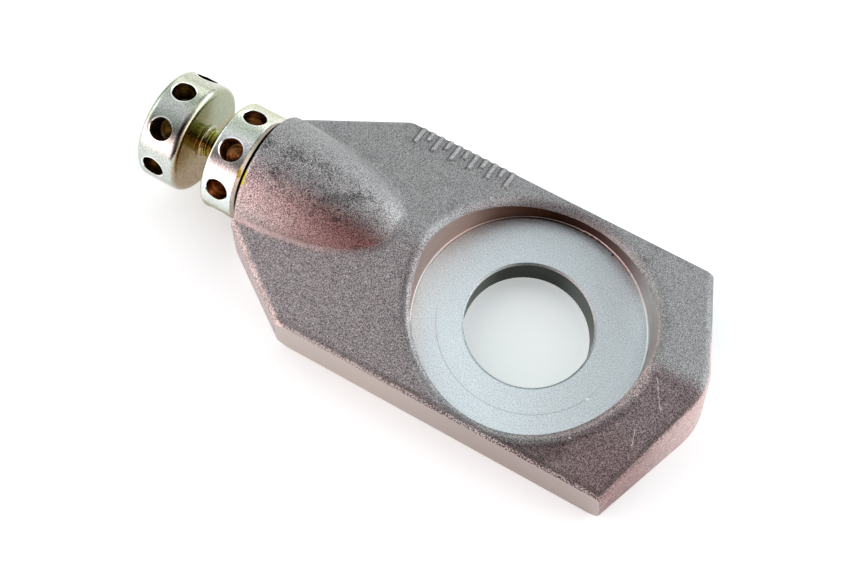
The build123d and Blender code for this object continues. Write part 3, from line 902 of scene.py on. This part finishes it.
def holeMaterial(p, name, light, dark):
    material, tree, shader = newMaterial(name)
    point = objectPoint(tree)
    along, y, z = put(tree, "SeparateXYZ", {0: point}).outputs[:]
    flat = put(tree, "CombineXYZ", {0: y, 1: sums(tree, "SUBTRACT", z, p["axisHeight"] * mm)}).outputs[0]
    out = put(tree, "VectorMath", {0: flat}, operation="LENGTH").outputs["Value"]
    rings = useGroup(tree, cutterGroup, Across=out, Along=along, Pitch=p["holePitch"])
    stain = useGroup(tree, stainGroup, Point=point, Size=p["holeStainSize"], Amount=0.5)
    # The hole's own brown in rings and stains, darkened as painted shade, with painted light towards the
    # near side
    tone = sums(tree, "MULTIPLY_ADD", rings["Height"], 0.6, sums(tree, "MULTIPLY", stain["Cloud"], 0.4))
    colour = blend(tree, ramp(tree, tone, 0.36, 0.62), dark, light)
    colour = tinted(tree, zone(tree, y, p["holePaintedLightY"]), colour, p["holePaintedLight"])
    shader.inputs["Metallic"].default_value = 1.0
    shader.inputs["Roughness"].default_value = p["holeRough"]
    feed(tree, shader, Base_Color=colour, Normal=bumped(tree, rings["Height"], p["holeDepth"], 0.7))
    return material


def holeFaces(centre, holes, p):
    # Faces inside a radial hole: close to a hole's own axis and below the drum's surface
    middle, turn, drumRadius = holes
    y, z = centre[:, 1], centre[:, 2] - p["axisHeight"]
    around = np.degrees(np.arctan2(-y, z)) - turn
    half = 180 / p["holeCount"]
    off = np.radians((around + half) % (2 * half) - half)
    out = np.hypot(y, z)
    aside = np.hypot(centre[:, 0] - middle, out * np.sin(off))
    below = (out * np.cos(off) < drumRadius - 0.2) & (out > p["holeFloor"])
    return (aside < p["holeRadius"] + 0.02) & below


def finishNut(p):
    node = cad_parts["lock_nut"]
    inside = holeFaces(faceData(node.data)[0], p["nutHoles"], p)
    hole = holeMaterial(p, "nutHoleWall", p["nutHoleLight"], p["nutHoleDark"])
    zinc = zincMaterial(p, "zincNut", p["nutTint"], p["nutFace"], p["nutHoles"], p["seatGroove"])
    dress(node, [zinc, hole], inside.astype(float))


def headCopy(p):
    # The CAD bolt without its plain shank, welded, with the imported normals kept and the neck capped
    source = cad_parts["adjuster_bolt"].data
    count = len(source.polygons)
    co = np.empty(len(source.vertices) * 3)
    source.vertices.foreach_get("co", co)
    corner = np.empty(count * 3, np.int32)
    source.loops.foreach_get("vertex_index", corner)
    turn = np.empty(count * 9)
    source.corner_normals.foreach_get("vector", turn)
    co, corner, turn = co.reshape(-1, 3), corner.reshape(-1, 3), turn.reshape(-1, 3, 3)
    out = np.hypot(co[:, 1], co[:, 2] - p["axisHeight"] * mm)
    onShank = (out < (p["shankRadius"] + 0.001) * mm) & (co[:, 0] > (p["neckEnd"] - 0.01) * mm)
    keep = ~onShank[corner].all(1)
    corner, turn = corner[keep], turn[keep]
    places, welded = np.unique(np.round(co, 7), axis=0, return_inverse=True)
    faces = welded.reshape(-1)[corner]
    used, faces = np.unique(faces, return_inverse=True)
    faces = faces.reshape(-1, 3)
    places = places[used]
    mesh = bpy.data.meshes.new("boltHead")
    y, z = places[:, 1], places[:, 2] - p["axisHeight"] * mm
    atNeck = np.abs(places[:, 0] - p["neckEnd"] * mm) < 0.02 * mm
    rim = np.flatnonzero(atNeck & (np.hypot(y, z) < (p["shankRadius"] + 0.01) * mm))
    order = rim[np.argsort(np.arctan2(z[rim], y[rim]))]
    mesh.from_pydata(places.tolist(), [], faces.tolist() + [order.tolist()])
    cap = np.tile((1.0, 0.0, 0.0), (len(order), 1))
    mesh.polygons.foreach_set("use_smooth", np.ones(len(faces) + 1, bool))
    mesh.normals_split_custom_set(np.vstack([turn.reshape(-1, 3), cap]).tolist())
    mesh.validate()
    obj = bpy.data.objects.new("boltHead", mesh)
    scene.collection.objects.link(obj)
    inside = holeFaces(faceData(mesh)[0], p["headHoles"], p)
    hole = holeMaterial(p, "headHoleWall", p["headHoleLight"], p["headHoleDark"])
    zinc = zincMaterial(p, "zincHead", p["headTint"], p["headFace"], p["headHoles"])
    dress(obj, [zinc, hole], inside.astype(float))
    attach(obj, "adjuster_bolt")
    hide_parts("adjuster_bolt")


# Bolt thread: a right-hand helix with rounded crests and roots
thread = {
    "start": -71.7,
    "end": -34.75,
    "pitch": 1.0,
    "crest": 3.0,
    "root": 2.42,
    "shrink": 0.06,          # keeps the crests inside the solid shank
    "fadeStart": 0.3,
    "runOut": 1.2,           # where the thread fades in beside the head
    "tipLength": 0.8,
    "tipSlack": 0.05,
    "perTurn": 14,
    "around": 56,
}


def threadSurface(t, p):
    # Radius = root + depth times a rounded triangle wave of (distance along / pitch - angle / full turn),
    # carried round the bolt axis; the depth fades at the neck and the radius drops along the tip's cone
    rows = int((t["end"] - t["start"]) / t["pitch"] * t["perTurn"])
    along = np.linspace(t["start"], t["end"], rows)
    angle = np.linspace(0, 2 * np.pi, t["around"], endpoint=False)
    s, a = np.meshgrid(along, angle, indexing="ij")
    wave = np.abs(((s / t["pitch"] - a / (2 * np.pi)) % 1) * 2 - 1)
    wave = wave * wave * (3 - 2 * wave)
    faded = np.clip((s - t["start"] - t["fadeStart"]) / t["runOut"], 0, 1)
    radius = t["crest"] - t["shrink"] - (t["crest"] - t["root"]) * (1 - wave) * faded
    radius = np.minimum(radius, t["crest"] - t["tipLength"] + t["end"] - s + t["tipSlack"])
    y, z = radius * np.cos(a), p["axisHeight"] + radius * np.sin(a)
    grid = np.stack([s, y, z], -1).reshape(-1, 3)
    ends = [(t["start"], 0, p["axisHeight"]), (t["end"], 0, p["axisHeight"])]
    points = np.vstack([grid, ends]) * mm
    n = t["around"]
    i, j = np.meshgrid(np.arange(rows - 1), np.arange(n), indexing="ij")
    k = (j + 1) % n
    quads = np.stack([i * n + j, i * n + k, (i + 1) * n + k, (i + 1) * n + j], -1).reshape(-1, 4)
    ring = np.arange(n)
    first = np.stack([np.full(n, rows * n), (ring + 1) % n, ring], -1)
    last = np.stack([np.full(n, rows * n + 1), (rows - 1) * n + ring, (rows - 1) * n + (ring + 1) % n], -1)
    mesh = bpy.data.meshes.new("boltThread")
    mesh.from_pydata(points.tolist(), [], quads.tolist() + first.tolist() + last.tolist())
    mesh.polygons.foreach_set("use_smooth", np.ones(len(mesh.polygons), bool))
    mesh.update()
    obj = bpy.data.objects.new("boltThread", mesh)
    scene.collection.objects.link(obj)
    return obj


def finishBolt(p, t):
    headCopy(p)
    finishNut(p)
    shank = threadSurface(t, p)
    zinc = zincMaterial(p, "zincThread", p["threadTint"], p["threadFace"])
    dress(shank, [zinc], np.zeros(len(shank.data.polygons)))
    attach(shank, "adjuster_bolt")


finishBolt(plating, thread)
print("stage: bolt and lock nut finished")


# Stage: pale floor that keeps the shadow, and soft windows of light round the object
surround = {
    "floorSize": 3.0,
    "floorDrop": 0.05 * mm,
    "floorColour": (0.85, 0.88, 0.88),
    "floorLift": (0.41, 0.43, 0.43),
    "floorRough": 0.9,
    "holeShadeLift": (0.31, 0.35, 0.345),
    "holeOut": (11, 14),
}

# Windows: azimuth from far towards right, elevation, half width and half height in degrees, and colour
windows = {
    "farRightLow": (45, 14, 34, 19, (3.7, 4.05, 4.3)),
    "farRightHigh": (45, 42, 21, 21, (1.25, 1.08, 1.0)),
    "rightLow": (92, 14, 20, 19, (2.7, 2.1, 2.0)),
    "nearLeftLow": (225, 14, 34, 19, (4.4, 3.25, 3.25)),
    "leftLow": (272, 14, 20, 19, (0.5, 0.85, 0.7)),
    "leftHigh": (270, 42, 21, 21, (2.15, 2.3, 2.3)),
    "farLeftHigh": (315, 42, 21, 21, (0.57, 0.65, 0.64)),
    "farLow": (332, 14, 20, 19, (1.55, 1.57, 1.5)),
    "overheadFar": (0, 68, 17, 17, (0.95, 0.96, 0.98)),
    "overheadLeft": (288, 68, 17, 17, (0.32, 0.22, 0.36)),
}


def seenDirectly(tree):
    path = put(tree, "LightPath")
    seen = sums(tree, "MAXIMUM", path.outputs["Is Camera Ray"], path.outputs["Is Glossy Ray"])
    return sums(tree, "MAXIMUM", seen, path.outputs["Is Transmission Ray"])


def makeFloor(s):
    half = s["floorSize"]
    corners = [(x * half, y * half, -s["floorDrop"]) for x, y in ((-1, -1), (1, -1), (1, 1), (-1, 1))]
    mesh = bpy.data.meshes.new("paleFloor")
    mesh.from_pydata(corners, [], [(0, 1, 2, 3)])
    obj = bpy.data.objects.new("paleFloor", mesh)
    scene.collection.objects.link(obj)
    material, tree, shader = newMaterial("paleFloor")
    shader.inputs["Base Color"].default_value = (*s["floorColour"], 1)
    shader.inputs["Roughness"].default_value = s["floorRough"]
    shader.inputs["Specular IOR Level"].default_value = 0.0
    radius = radiusAndAngle(tree, objectPoint(tree))[0]
    # Painted shade: the floor seen through the axle hole is lifted less, so it is dimmer
    lift = blend(tree, zone(tree, radius, s["holeOut"]), s["holeShadeLift"], s["floorLift"])
    feed(tree, shader, Emission_Color=lift, Emission_Strength=seenDirectly(tree))
    mesh.materials.append(material)


# Shared effect: the glow of one soft window, a bell curve in azimuth and in elevation
def makeWindow():
    group, given, out = newGroup(
        "softWindow",
        [("Aim", "Vector", None), ("Azimuth", "Float", 0.0), ("Elevation", "Float", 0.3),
         ("Width", "Float", 0.4), ("Height", "Float", 0.4)],
        [("Glow", "Float")])
    turned = put(group, "VectorRotate", {"Vector": given["Aim"], "Angle": given["Azimuth"]},
                 rotation_type="Z_AXIS")
    way = put(group, "SeparateXYZ", {0: turned.outputs[0]}).outputs
    upward = sums(group, "ARCSINE", way[2])
    aside = sums(group, "MULTIPLY", sums(group, "ARCTAN2", way[0], way[1]), sums(group, "COSINE", upward))
    across = sums(group, "DIVIDE", aside, given["Width"])
    above = sums(group, "DIVIDE", sums(group, "SUBTRACT", upward, given["Elevation"]), given["Height"])
    square = sums(group, "MULTIPLY_ADD", across, across, sums(group, "MULTIPLY", above, above))
    group.links.new(sums(group, "EXPONENT", sums(group, "MULTIPLY", square, -1.0)), out["Glow"])
    return group


def makeWorld(rig):
    world = bpy.data.worlds.new("softSurround")
    scene.world = world
    world.use_nodes = True
    tree = world.node_tree
    tree.nodes.clear()
    group = makeWindow()
    aim = put(tree, "TexCoord").outputs["Generated"]
    colour = (0, 0, 0)
    for azimuth, elevation, width, height, glow in rig.values():
        window = useGroup(tree, group, Aim=aim, Azimuth=math.radians(azimuth),
                          Elevation=math.radians(elevation), Width=math.radians(width),
                          Height=math.radians(height))
        colour = blend(tree, window["Glow"], colour, glow, "ADD")
    seen = put(tree, "LightPath").outputs["Is Camera Ray"]
    colour = blend(tree, seen, colour, (1, 1, 1))
    light = put(tree, "Background", {"Color": colour})
    output = put(tree, "OutputWorld")
    tree.links.new(light.outputs[0], output.inputs[0])


makeFloor(surround)
makeWorld(windows)
print("stage: surround made")
